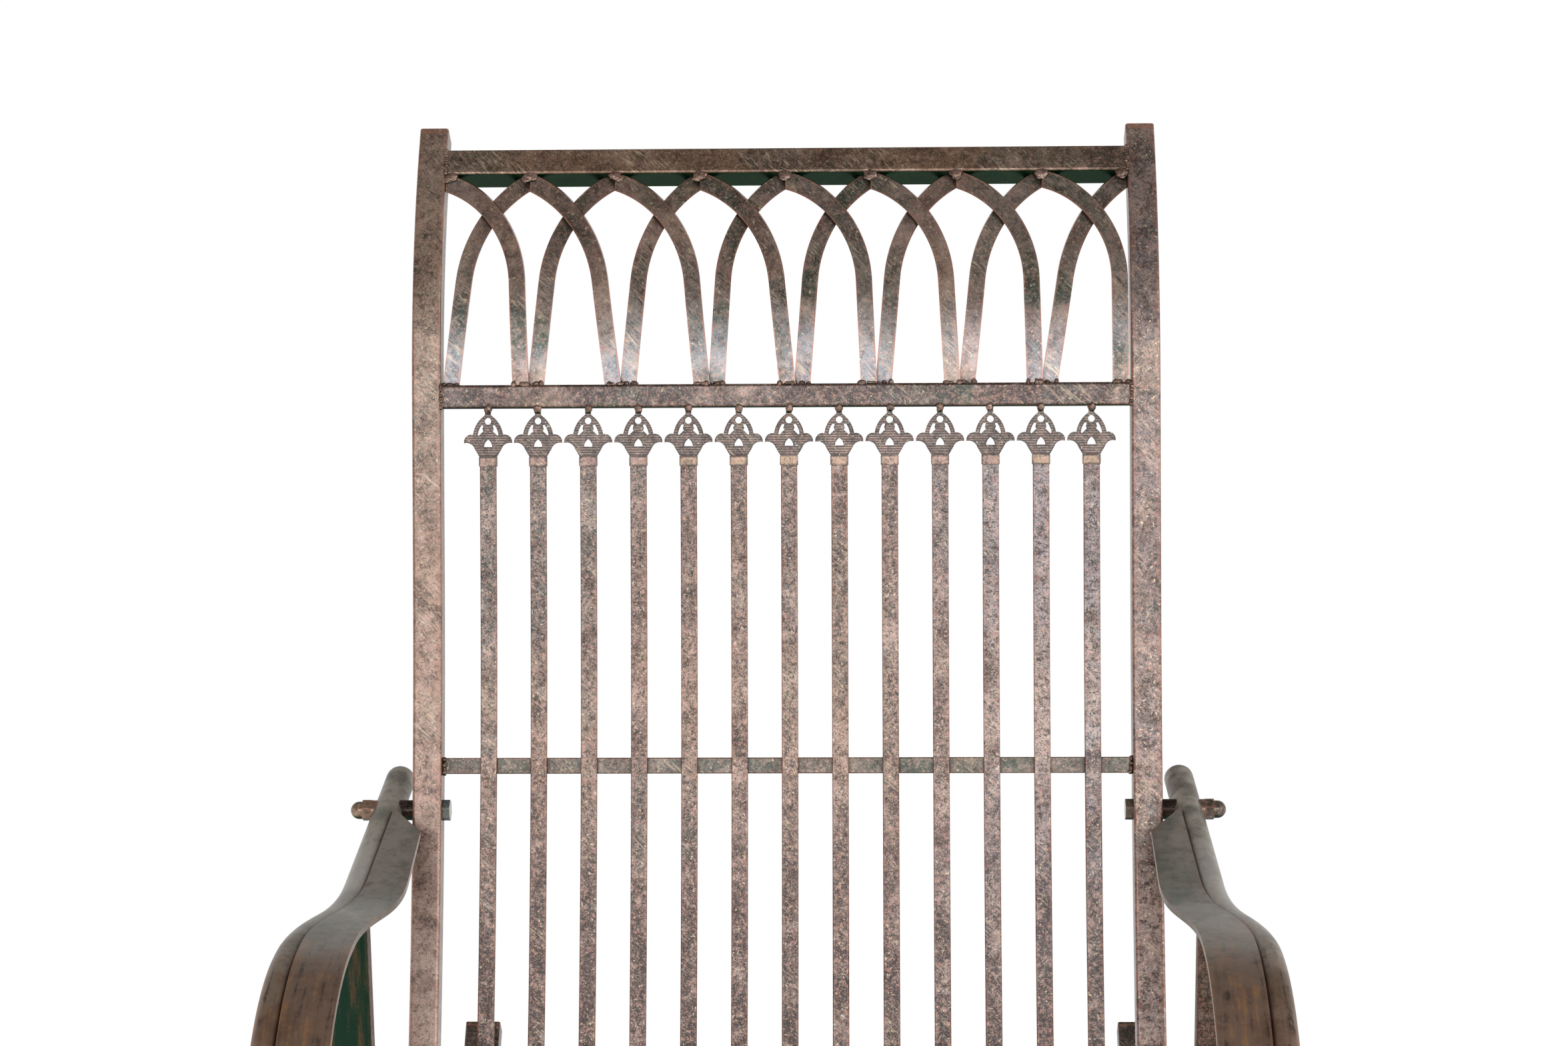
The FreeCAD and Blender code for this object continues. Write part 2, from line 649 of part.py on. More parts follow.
def repeat_across(body, features, sketch):
    """Repeats a body's features at every slat."""
    body.AllowCompound = True
    pattern = body.newObject("PartDesign::LinearPattern", "Pattern")
    pattern.Originals = features
    pattern.Direction = (sketch, ["H_Axis"])
    pattern.setExpression("Length", (dim("slat_pitch") * (dim("slat_count") - 1)).text)
    pattern.setExpression("Occurrences", "Sizes.slat_count")
    body.Tip = pattern


def slat_collars():
    """Bands that hold the slats' ends, each with a socket for its slat."""
    body = straight_bar("slat_collars", "XY_Plane", dim("collar_width"), dim("collar_depth"),
                        dim("slat_corner"), dim("collar_height"), False)
    pad = body.Tip
    doc.recompute()
    socket_sketch = new_sketch(body, "XY_Plane")
    play = dim("collar_play") * 2
    draw_rounded_rectangle(socket_sketch, dim("slat_width") + play, dim("slat_thickness") + play,
                           dim("slat_corner") + dim("collar_play"))
    socket = body.newObject("PartDesign::Pocket", "Socket")
    socket.Profile = socket_sketch
    socket.Reversed = True
    socket.setExpression("Length", "Sizes.collar_seat")
    doc.recompute()
    repeat_across(body, [pad, socket], socket_sketch)
    body.Placement = on_route(rail, roll_at - collar_below_roll.value, first_slat_x, slat_lift.value)
    node("slat_collars", body)


slat_collars()


def finials():
    """Pierced castings: a tapered foot, drooping wings and a pointed hood with a tang on top."""
    foot = size("finial_foot") / 2
    waist = size("finial_waist") / 2
    wing = size("finial_span") / 2
    hood = size("finial_hood_width") / 2
    tang = size("tang_width") / 2
    taper_rise = size("finial_taper_rise")
    wing_rise = size("finial_wing_rise")
    hood_rise = size("finial_hood_rise")
    height = size("finial_height")
    top = height + size("tang_length")
    loop_top = size("finial_loop_top")
    arch = size("finial_arch_width") / 2
    arch_rise = size("finial_arch_rise")
    arch_top = arch_rise + size("finial_arch_height")

    def point(x, rise):
        return FreeCAD.Vector(x, rise, 0)

    hood_side = point(hood * size("finial_hood_fullness"), (hood_rise + height) / 2)
    hood_points = (point(hood, hood_rise), hood_side, point(tang, height))
    hood_circle = Part.ArcOfCircle(*hood_points).Circle
    inner_radius = hood_circle.Radius - size("finial_band")

    def under_hood(side, rise):
        """A point on the inner edge of the hood's band."""
        x = hood_circle.Center.x + math.sqrt(inner_radius ** 2 - (rise - hood_circle.Center.y) ** 2)
        return point(side * x, rise)

    def edge_of(side):
        """One side of the outline, from the foot to the tang."""
        under_wing = point(side * ((waist + wing) / 2 - foot / 4), wing_rise - foot / 6)
        over_wing = point(side * (wing - tang / 2), (hood_rise + wing_rise) / 2 + tang / 2)
        return [
            Part.LineSegment(point(side * foot, 0), point(side * waist, taper_rise)),
            Part.ArcOfCircle(point(side * waist, taper_rise), under_wing, point(side * wing, wing_rise)),
            Part.ArcOfCircle(point(side * wing, wing_rise), over_wing, point(side * hood, hood_rise)),
            Part.ArcOfCircle(*(point(side * place.x, place.y) for place in hood_points)),
            Part.LineSegment(point(side * tang, height), point(side * tang, top)),
        ]

    def loop_of(side):
        """The opening between the hood's band and the crown."""
        corners = [
            under_hood(side, loop_top),
            point(side * (size("finial_eye") / 2 + size("finial_band") / 4), loop_top),
            point(side * size("finial_crown_width") / 2, size("finial_crown_rise")),
            point(side * size("finial_neck_width") / 2, size("finial_neck_rise")),
            point(side * size("finial_loop_spread") / 2, size("finial_loop_foot")),
            under_hood(side, hood_rise),
        ]
        loop = [Part.LineSegment(begin, end) for begin, end in zip(corners, corners[1:])]
        loop.append(Part.ArcOfCircle(corners[-1], under_hood(side, (hood_rise + loop_top) / 2), corners[0]))
        return loop

    def arch_side(side):
        """One side of the small arched opening."""
        shoulder = point(side * arch * size("finial_arch_fullness"), (arch_rise + arch_top) / 2)
        return Part.ArcOfCircle(point(side * arch, arch_rise), shoulder, point(0, arch_top))

    outline = edge_of(1) + edge_of(-1)
    outline.append(Part.LineSegment(point(-tang, top), point(tang, top)))
    outline.append(Part.LineSegment(point(-foot, 0), point(foot, 0)))
    opening = [arch_side(1), arch_side(-1), Part.LineSegment(point(-arch, arch_rise), point(arch, arch_rise))]
    eye = [Part.Circle(point(0, size("finial_eye_rise")), FreeCAD.Vector(0, 0, 1), size("finial_eye") / 2)]
    outlines = [outline, loop_of(1), loop_of(-1), opening, eye]
    body, sketch, pad = padded_outline("finials", "XZ_Plane", outlines, dim("finial_thickness"))
    doc.recompute()
    repeat_across(body, [pad], sketch)
    body.Placement = on_route(rail, roll_at - finial_room.value, first_slat_x, slat_lift.value)
    node("finials", body)


finials()

# Arch panel: flat bars bent to the roll of the back, the front row crossing over the rear row
arch_start = rail.at(mid_rail_at + size("mid_rail_height") / 2)
degrees_per_radian = 180 / math.pi
top_rail_half_turn = rail_size / 2 / dim("roll_radius") * degrees_per_radian
arch_moves = [
    ("run", dim("mid_rail_below_roll") - dim("mid_rail_height") / 2),
    ("right", dim("roll_radius"), dim("top_rail_turn") - top_rail_half_turn),
]
panel_route = Route(arch_start[:2], math.degrees(arch_start[2]), arch_moves)
front_lift = rail_size / 2 - dim("arch_set_back") - dim("arch_bar_thickness") / 2
rear_lift = front_lift - dim("arch_bar_thickness")
bay_width = inner_width.value / size("arch_count")
peak_place = on_route(panel_route, panel_route.length, 0, front_lift.value)
peak_z = peak_place.Base.z - size("arch_peak_drop")

# The bars are set by eye: how far each arch stands to the right of its bay's middle,
# and each pair of feet to the right of the edge between its bays
BAY_SHIFTS = [3.8, 2, 6.2, 5.4, 6.2, 3.4, 2.8, 4]
FOOT_SHIFTS = [1.5, 0.8, 5.3, 7.1, 6.8, 3.4, 1.3, -1.5, -2]


def arch_outline(bay, lean):
    """A bar seen from the front: a leg at one edge of the bay, curving up to the other edge."""
    leg_edge = bay + 1 if lean > 0 else bay
    edge_x = -inner_width.value / 2 + leg_edge * bay_width
    foot_x = size("arch_foot_inset") - lean * FOOT_SHIFTS[leg_edge % len(FOOT_SHIFTS)]
    bend_x = size("arch_bend_inset") - lean * BAY_SHIFTS[bay % len(BAY_SHIFTS)]
    foot = FreeCAD.Vector(foot_x, arch_start[1], 0)
    bend = FreeCAD.Vector(bend_x, peak_z - size("arch_bend_drop"), 0)
    rise = (bend - foot).normalize()
    inward = FreeCAD.Vector(rise.y, -rise.x, 0)
    chord = FreeCAD.Vector(bay_width, peak_z, 0) - bend
    radius = chord.Length ** 2 / (2 * chord.dot(inward))
    centre = bend + inward * radius
    first = math.atan2(rise.x, rise.y)
    under_rail = foot - rise * size("rail_size")
    edges = []
    for half_bar in (size("arch_bar_width") / 2, -size("arch_bar_width") / 2):
        around = radius + half_bar
        last = math.acos((centre.x - bay_width) / around)
        curve = [
            centre + FreeCAD.Vector(-math.cos(angle), math.sin(angle), 0) * around
            for angle in (first, (first + last) / 2, last)
        ]
        edges.append([FreeCAD.Vector(edge_x - lean * place.x, place.y, 0)
                      for place in [under_rail - inward * half_bar] + curve])
    outer, inner = edges
    return [
        Part.LineSegment(inner[0], outer[0]),
        Part.LineSegment(outer[0], outer[1]),
        Part.ArcOfCircle(*outer[1:]),
        Part.LineSegment(outer[-1], inner[-1]),
        Part.ArcOfCircle(*inner[1:]),
        Part.LineSegment(inner[1], inner[0]),
    ]


for row, lift, lean in (("front", front_lift, 1), ("rear", rear_lift, -1)):
    layer = bent_bar("arch_layer", panel_route.beside(lift), inner_width, dim("arch_bar_thickness"),
                     dim("arch_bar_edge"))
    for bay in range(int(size("arch_count"))):
        outline = arch_outline(bay, lean)
        bar, _, _ = padded_outline("arch_shape", "XZ_Plane", [outline], dim("rocker_radius"))
        node(f"arch_bar_{row}_{bay + 1}", combine("Common", layer, bar))

# Arms: one round tube each side, from the closed rear end over the arm and down as the front leg
def arm_sweep(side):
    """The round tube along its bent line, with the rounded rear end."""
    points = [FreeCAD.Vector(side * corner.x, corner.y, corner.z) for corner in arm_corners]
    line = doc.addObject("Part::Feature", "ArmLine")
    line.Shape = Part.Wire([edge.toShape() for edge in rounded_edges(points, arm_radii)])
    turn = FreeCAD.Rotation(FreeCAD.Vector(0, 0, 1), points[1] - points[0])
    section = primitive("Circle", FreeCAD.Placement(points[0], turn), Radius=dim("arm_diameter") / 2)
    sweep = doc.addObject("Part::Sweep", "Sweep")
    sweep.Sections = [section]
    sweep.Spine = (line, [f"Edge{number + 1}" for number in range(len(line.Shape.Edges))])
    sweep.Solid = True
    doc.recompute()
    rounded = doc.addObject("Part::Fillet", "RoundedEnd")
    rounded.Base = sweep
    gaps = [edge.CenterOfMass.distanceToPoint(points[0]) for edge in sweep.Shape.Edges]
    end_edge = gaps.index(min(gaps)) + 1
    rounded.Edges = [(end_edge, size("arm_end_round"), size("arm_end_round"))]
    return rounded


arm_tubes = {}
for name, side in SIDES:
    arm_tubes[name] = arm_sweep(side)
    coped = combine("Cut", arm_tubes[name], rockers[name])
    node(f"arm_tube_{name}", combine("Cut", coped, bolt_holes))


def strip_route():
    """The strip's side view, over the tube's bends."""
    bend_foot_z = crest.z - front_radius
    spacer_top_z = rail.at(leg_bolt_at)[1] + size("spacer_diameter") / 2
    strip_end_z = bend_foot_z - size("strip_drop_share") * (bend_foot_z - spacer_top_z)
    turned = [(rear_end.y, rear_end.z), (waist.y, waist.z), (crest.y, crest.z), (leg_y, crest.z)]
    turned.append((leg_y, strip_end_z))
    spans = [(b[0] - a[0], b[1] - a[1]) for a, b in zip(turned, turned[1:])]
    headings = [math.degrees(math.atan2(dz, dy)) % 360 for dy, dz in spans]
    reaches = [0, waist_bend * bend_radius, crest_bend * bend_radius, front_radius, 0]
    moves = []
    for index, span in enumerate(spans):
        moves.append(("run", plain(math.hypot(*span) - reaches[index] - reaches[index + 1])))
        if index + 1 < len(spans):
            turn = headings[index + 1] - headings[index]
            radius = reaches[index + 1] / math.tan(math.radians(abs(turn)) / 2)
            moves.append(("left" if turn > 0 else "right", plain(radius), plain(abs(turn))))
    lift = dim("strip_lift") + dim("strip_thickness") / 2
    return Route(turned[0], headings[0], moves).beside(lift * -1)


def strip_outline(side):
    """The strip's plan: its outer edge follows the tube, its inner edge widens towards the front."""
    rail_face_y = bolt_y - size("rail_size") / 2
    rear_y = rail_face_y - size("strip_rear_gap")
    front_y = leg_y - size("arm_diameter")
    beside_tube = math.sqrt(arm_radius ** 2 - size("strip_lift") ** 2)
    middle_width = (size("strip_rear_width") + size("strip_front_width")) / 2

    def tube_point(y):
        return FreeCAD.Vector(arm_x + drift * (bolt_y - y), y, 0)

    tube = [tube_point(rear_y), FreeCAD.Vector(waist.x, waist.y, 0), FreeCAD.Vector(crest.x, crest.y, 0)]
    tube.append(FreeCAD.Vector(crest.x, front_y, 0))
    outer = beside_points(tube, -beside_tube)
    widths = [size("strip_rear_width"), middle_width, size("strip_front_width"), size("strip_front_width")]
    inner = [point - FreeCAD.Vector(width, 0, 0) for point, width in zip(outer, widths)]
    inner[0] = tube_point(rear_y - size("strip_mitre")) - FreeCAD.Vector(beside_tube + widths[0], 0, 0)
    points = [FreeCAD.Vector(side * p.x, p.y, 0) for p in outer + inner[::-1]]
    outer_radii = [0, bend_radius + beside_tube, bend_radius - beside_tube, 0]
    inner_radii = [0, bend_radius, bend_radius, 0]
    return rounded_edges(points, outer_radii + inner_radii, closed=True)


# Arm strips: flat strips beside the tubes, mitred in front of the side rails
for name, side in SIDES:
    layer = bent_bar("strip_layer", strip_route(), rocker_spread, dim("strip_thickness"),
                     dim("arch_bar_edge"))
    outline, _, _ = padded_outline("strip_shape", "XY_Plane", [strip_outline(side)], dim("rocker_radius") * 2)
    layer.Placement.Base = FreeCAD.Vector(side * rocker_x, 0, 0)
    node(f"arm_strip_{name}", combine("Common", layer, outline))

# Rear posts: from the rockers to the undersides of the arms
post_foot_z = rocker_route.at(rocker_route.find(0, post_y, 0, rocker_route.length))[1]
arm_line = Part.Wire([edge.toShape() for edge in rounded_edges(arm_corners, arm_radii)])
wall_size = rocker_spread.value * 4
wall_corner = FreeCAD.Vector(-wall_size / 2, post_y, -wall_size / 2)
post_wall = Part.makePlane(wall_size, wall_size, wall_corner, FreeCAD.Vector(0, 1, 0))
arm_over_post = arm_line.distToShape(post_wall)[1][0][0]
post_top_z = arm_over_post.z - arm_radius + size("post_cope")
for name, side in SIDES:
    post = straight_bar("post_tube", "XY_Plane", dim("post_width"), dim("post_depth"), dim("tube_corner"),
                        plain(post_top_z - post_foot_z), False)
    post.Placement.Base = FreeCAD.Vector(side * rocker_x, post_y, post_foot_z)
    footed = combine("Cut", post, rockers[name])
    coped = combine("Cut", footed, arm_tubes[name])
    node(f"rear_post_{name}", combine("Cut", coped, bolt_holes))

# Fasteners: a bolt from inside each side rail, a spacer, a washer and an acorn nut
HEX_CORNERS = 2 / math.sqrt(3)
hex_radius = dim("hex_across") / 2 * HEX_CORNERS
dome_radius = dim("hex_across") / 2 - dim("nut_dome_step")


def hex_bolt(side, y, z, nut_x):
    head = primitive("Prism", outward(side, rail_inner_x - size("head_height"), y, z),
                     Circumradius=hex_radius, Height=dim("head_height"))
    reach = plain(nut_x - rail_inner_x + size("nut_thread") - size("bolt_end_gap"))
    shank = primitive("Cylinder", outward(side, rail_inner_x, y, z),
                      Radius=dim("bolt_diameter") / 2, Height=reach)
    return gather("MultiFuse", [head, shank])


def acorn_nut(side, y, z, nut_x):
    hexagon = primitive("Prism", outward(side, nut_x, y, z),
                        Circumradius=hex_radius, Height=dim("nut_height"))
    neck = primitive("Cylinder", outward(side, nut_x, y, z), Radius=dome_radius,
                     Height=dim("nut_length") - dome_radius)
    dome = primitive("Sphere", outward(side, nut_x + size("nut_length") - dome_radius.value, y, z),
                     Radius=dome_radius)
    thread = primitive("Cylinder", outward(side, nut_x, y, z), Radius=hole_radius, Height=dim("nut_thread"))
    return combine("Cut", gather("MultiFuse", [hexagon, neck, dome]), thread)


def bored_ring(side, y, z, x, length, radius, tube):
    """A spacer or washer on a bolt, hollowed to fit the round tube it lies against."""
    ring = primitive("Cylinder", outward(side, x, y, z), Radius=radius, Height=plain(length))
    if tube:
        ring = combine("Cut", ring, tube)
    return combine("Cut", ring, bolt_holes)


bolts = []
nuts = []
spacers = []
washers = []
ring_radius = dim("spacer_diameter") / 2
washer_thickness = size("washer_thickness")
saddle = arm_radius - math.sqrt(arm_radius ** 2 - ring_radius.value ** 2)
for name, side in SIDES:
    stations = [
        (arm_bolt_at, arm_x, arm_radius, arm_tubes[name]),
        (leg_bolt_at, crest.x, arm_radius, arm_tubes[name]),
        (post_bolt_at, rocker_x, size("post_width") / 2, None),
    ]
    for distance, middle_x, half_width, tube in stations:
        y, z, _ = rail.at(distance)
        seat = saddle if tube else 0
        outer_x = middle_x + half_width
        nut_x = outer_x + washer_thickness
        gap = middle_x - half_width - rail_outer_x
        spacers.append(bored_ring(side, y, z, rail_outer_x, gap + seat, ring_radius, tube))
        washers.append(bored_ring(side, y, z, outer_x - seat, seat + washer_thickness, ring_radius, tube))
        bolts.append(hex_bolt(side, y, z, nut_x))
        nuts.append(acorn_nut(side, y, z, nut_x))
node("hex_bolts", gather("Compound", bolts))
node("acorn_nuts", gather("Compound", nuts))
node("bolt_spacers", gather("Compound", spacers))
node("bolt_washers", gather("Compound", washers))

# Every object has to be whole before anything is written
doc.recompute()
for feature in doc.Objects:
    if "Invalid" in feature.State or "Error" in feature.State:
        raise RuntimeError(f"{feature.Name} ({feature.Label}) failed: {feature.State}")
for feature in NODES:
    if feature.Shape.isNull() or not feature.Shape.isValid() or not feature.Shape.Solids:
        raise RuntimeError(f"{feature.Label} has no sound shape")

os.makedirs("parts", exist_ok=True)
volume = 0
moment = FreeCAD.Vector(0, 0, 0)
for feature in NODES:
    feature.Shape.exportStep(f"parts/{feature.Label}.step")
    for solid in feature.Shape.Solids:
        volume += solid.Volume
        moment += solid.CenterOfMass * solid.Volume
centre = moment / volume
print(f"{len(NODES)} sub-parts, volume {volume / 1000:.0f} cm3")
print(f"centre of mass {centre.y - balance_y:.1f} mm behind the balance point, {centre.z:.1f} mm up")
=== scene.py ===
import math
import random
from dataclasses import dataclass

import bmesh
import bpy
from mathutils import Matrix, Vector, noise


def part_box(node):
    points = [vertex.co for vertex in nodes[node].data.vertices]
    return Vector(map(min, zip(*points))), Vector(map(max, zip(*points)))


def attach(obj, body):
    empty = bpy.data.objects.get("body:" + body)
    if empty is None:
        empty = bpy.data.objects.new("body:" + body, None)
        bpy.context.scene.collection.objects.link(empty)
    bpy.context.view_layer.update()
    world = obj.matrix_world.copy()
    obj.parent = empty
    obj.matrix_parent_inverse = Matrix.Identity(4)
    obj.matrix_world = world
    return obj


# Rocking chair in antique bronze paint, in metres, in the frame of the CAD parts.
# The photograph shows the upper back and the arms on white.

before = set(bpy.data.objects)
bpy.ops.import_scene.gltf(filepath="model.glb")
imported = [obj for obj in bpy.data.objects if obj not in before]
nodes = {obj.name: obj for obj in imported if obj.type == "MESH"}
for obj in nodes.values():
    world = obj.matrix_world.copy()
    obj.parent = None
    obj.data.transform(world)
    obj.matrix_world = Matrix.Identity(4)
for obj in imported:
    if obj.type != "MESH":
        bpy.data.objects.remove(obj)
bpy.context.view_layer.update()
scene = bpy.context.scene

MM = 0.001


def tone(code):
    """A colour from its hex code as a picture shows it, turned into linear light."""
    levels = [int(code[place:place + 2], 16) / 255 for place in (1, 3, 5)]
    linear = [level / 12.92 if level <= 0.04045 else ((level + 0.055) / 1.055) ** 2.4 for level in levels]
    return (*linear, 1)


# Colours of the paint
BASE_COAT = tone("#073a20")
BARE_GREEN = tone("#0c3825")
GREEN = tone("#2a4a3a")
DEEP_BROWN = tone("#33251e")
RUST = tone("#85593f")
BRASS = tone("#b3835a")
BRONZE = tone("#7d6a4c")
ROSE = tone("#a47f6e")
RED_COPPER = tone("#bd7f68")
COPPER = tone("#c99582")
PALE_COPPER = tone("#cdafa0")
GOLD = tone("#c1a38a")
PALE_GOLD = tone("#e2cba9")
LEAD = tone("#4f4a45")
STEEL = tone("#a7adb8")
CHALK = tone("#efe9e2")
WHITE = (1, 1, 1, 1)

# Sheen of the paint, the same on all pieces
METAL_SHARE = 0.6
DULL = (0.3, 0.3, 0.3, 1)
GLOSS_SPREAD = 0.16
COAT_ROUGHNESS = 0.26
COAT_LOST_BELOW = 0.9
GRAIN_DEPTH = 0.25 * MM
GRAIN_STRENGTH = 0.3
RIDGE_HEIGHT = 2.2

# Layers of the paint come in over these stretches, each from none to full.
# Across the chair
RIGHT_SIDE = (0.06, 0.18)
LEFT_HALF = (0.01, -0.01)
# By height, partly from the pieces that they follow
ARCH_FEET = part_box("mid_rail")[1][2]
BAR_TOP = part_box("back_cross_bar")[1][2]
POST_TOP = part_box("rear_post_left")[1][2]
LOWER_BACK = (0.98, 0.62)
# Where painted light and shade is laid on the lowest part of the back and on the seat
SEAT_AND_BEND = (0.70, 0.50)
BELT_TOP = (BAR_TOP + 120 * MM, BAR_TOP + 40 * MM)
BELT_FOOT = (BAR_TOP - 70 * MM, BAR_TOP)
# Where a cool sheen is painted at the feet of the arches
SHEEN_AT_ARCH_FEET = (ARCH_FEET + 65 * MM, ARCH_FEET + 15 * MM)
UNDER_ARM = (POST_TOP - 170 * MM, POST_TOP - 85 * MM)
# Along the arms
ARM_FRONT = (-0.17, -0.32)
ARM_REAR = (-0.05, 0.03)
# Where a pale sheen is painted on the arm tubes
SHEEN_STRETCH_REAR = (-0.03, -0.12)
SHEEN_STRETCH_FRONT = (-0.24, -0.18)
# By the way that a face looks, how flat it is, and how open it lies
FACES_FRONT = (-0.3, -0.8)
FACES_DOWN = (-0.25, -0.6)
AT_EDGE = (0.995, 0.95)
# Painted shade darkens corners over this stretch of openness
IN_CORNER = (0.8, 0.45)
CORNER_REACH = 4 * MM
NEIGHBOUR_SAMPLES = 6

# Streaks of the arms: strength at the rear and at the front, and how much of them is lines
REAR_STREAKS = 0.14
FRONT_STREAKS = 0.89
LINE_SHARE = 0.65


class Shader:
    """A material's node tree, built up by short calls."""

    def __init__(self, name):
        self.material = bpy.data.materials.new(name)
        self.material.use_nodes = True
        self.tree = self.material.node_tree
        self.tree.nodes.clear()
        self.place = self.node("TexCoord").outputs["Object"]

    def feed(self, socket, value):
        if isinstance(value, bpy.types.NodeSocket):
            self.tree.links.new(value, socket)
        else:
            socket.default_value = value

    def node(self, kind, inputs=(), **settings):
        made = self.tree.nodes.new("ShaderNode" + kind)
        for key, value in settings.items():
            setattr(made, key, value)
        for socket, value in dict(inputs).items():
            self.feed(made.inputs[socket], value)
        return made

    def calculate(self, operation, first, second=0.0, third=0.0):
        return self.node("Math", {0: first, 1: second, 2: third}, operation=operation).outputs["Value"]

    def both(self, first, second):
        """Where two patterns overlap."""
        return self.calculate("MULTIPLY", first, second)

    def between(self, amount, start, end):
        """A number that runs from start to end as the amount runs from 0 to 1."""
        return self.calculate("MULTIPLY_ADD", amount, end - start, start)

    def mix(self, amount, first, second):
        """The first colour, with some amount of the second."""
        made = self.node("Mix", data_type="RGBA")
        # The node has sockets for each kind of data; these are the ones for colours
        amount_socket, first_socket, second_socket = made.inputs[0], made.inputs[6], made.inputs[7]
        self.feed(amount_socket, amount)
        self.feed(first_socket, first)
        self.feed(second_socket, second)
        return made.outputs[2]

    def ramp(self, value, low, high, smooth=True):
        """0 at the low value, 1 at the high value."""
        kind = "SMOOTHSTEP" if smooth else "LINEAR"
        inputs = {"Value": value, "From Min": low, "From Max": high}
        return self.node("MapRange", inputs, interpolation_type=kind).outputs["Result"]

    def clouds(self, per_metre, detail=3, roughness=0.5, place=None):
        """Cloudy noise, with a number of clouds per metre."""
        inputs = {"Vector": place or self.place, "Scale": per_metre, "Detail": detail, "Roughness": roughness}
        return self.node("TexNoise", inputs).outputs["Fac"]

    def patches(self, per_metre, low, high, detail=3, roughness=0.5):
        """Cloudy patches: 0 where the noise has the low value, 1 where it has the high value."""
        return self.ramp(self.clouds(per_metre, detail, roughness), low, high)

    def lines(self, per_metre, detail, roughness, slant=0):
        """Noise drawn out into lines: clouds per metre along X, Y and Z, slanted about Y by degrees."""
        inputs = {"Vector": self.place, "Rotation": (0, math.radians(slant), 0)}
        slanted = self.node("Mapping", inputs).outputs["Vector"]
        drawn_out = self.node("Mapping", {"Vector": slanted, "Scale": per_metre}).outputs["Vector"]
        return self.clouds(1, detail, roughness, drawn_out)

    def finish(self, surface):
        """The material, with this surface as its output."""
        self.node("OutputMaterial", {"Surface": surface})
        return self.material


@dataclass
class Mixture:
    """One mixture of the paint: two main colours, and how strong each layer is, mostly from 0 to 1."""

    main: str
    second: str
    # Soft patches; right is the colour of the right-hand side; the low colour is painted light and shade on
    # the lowest part of the back and on the seat; the feet sheen is a painted cool sheen low on the arches
    rose: float = 0
    green: float = 0
    gold: float = 0.2
    right: tuple = STEEL
    right_share: float = 0
    belt: float = 0
    painted_feet_sheen: float = 0
    low: tuple = DEEP_BROWN
    low_light_and_shade_share: float = 0
    spots: float = 0
    # Clouds and grain: dark clouds, copper in both, dark grain
    dark: float = 0.5
    copper: float = 0.45
    speckle: float = 0.5
    # Marks; the edges' reach is in millimetres
    scratch: float = 0.4
    edge: tuple = RED_COPPER
    edge_share: float = 0.85
    edge_reach: float = 2.2
    glints: float = 0.5
    flecks: float = 0
    # Sheen: the roughness, and the clear coat
    gloss: float = 0.36
    coat: float = 0.5
    # Layers that only some pieces have
    streaked: bool = False
    painted_sheen_stretch: float = 0
    striped: bool = False
    # Green first coat with painted shade, on the left post under the arm
    green_coat_and_painted_shade: bool = False


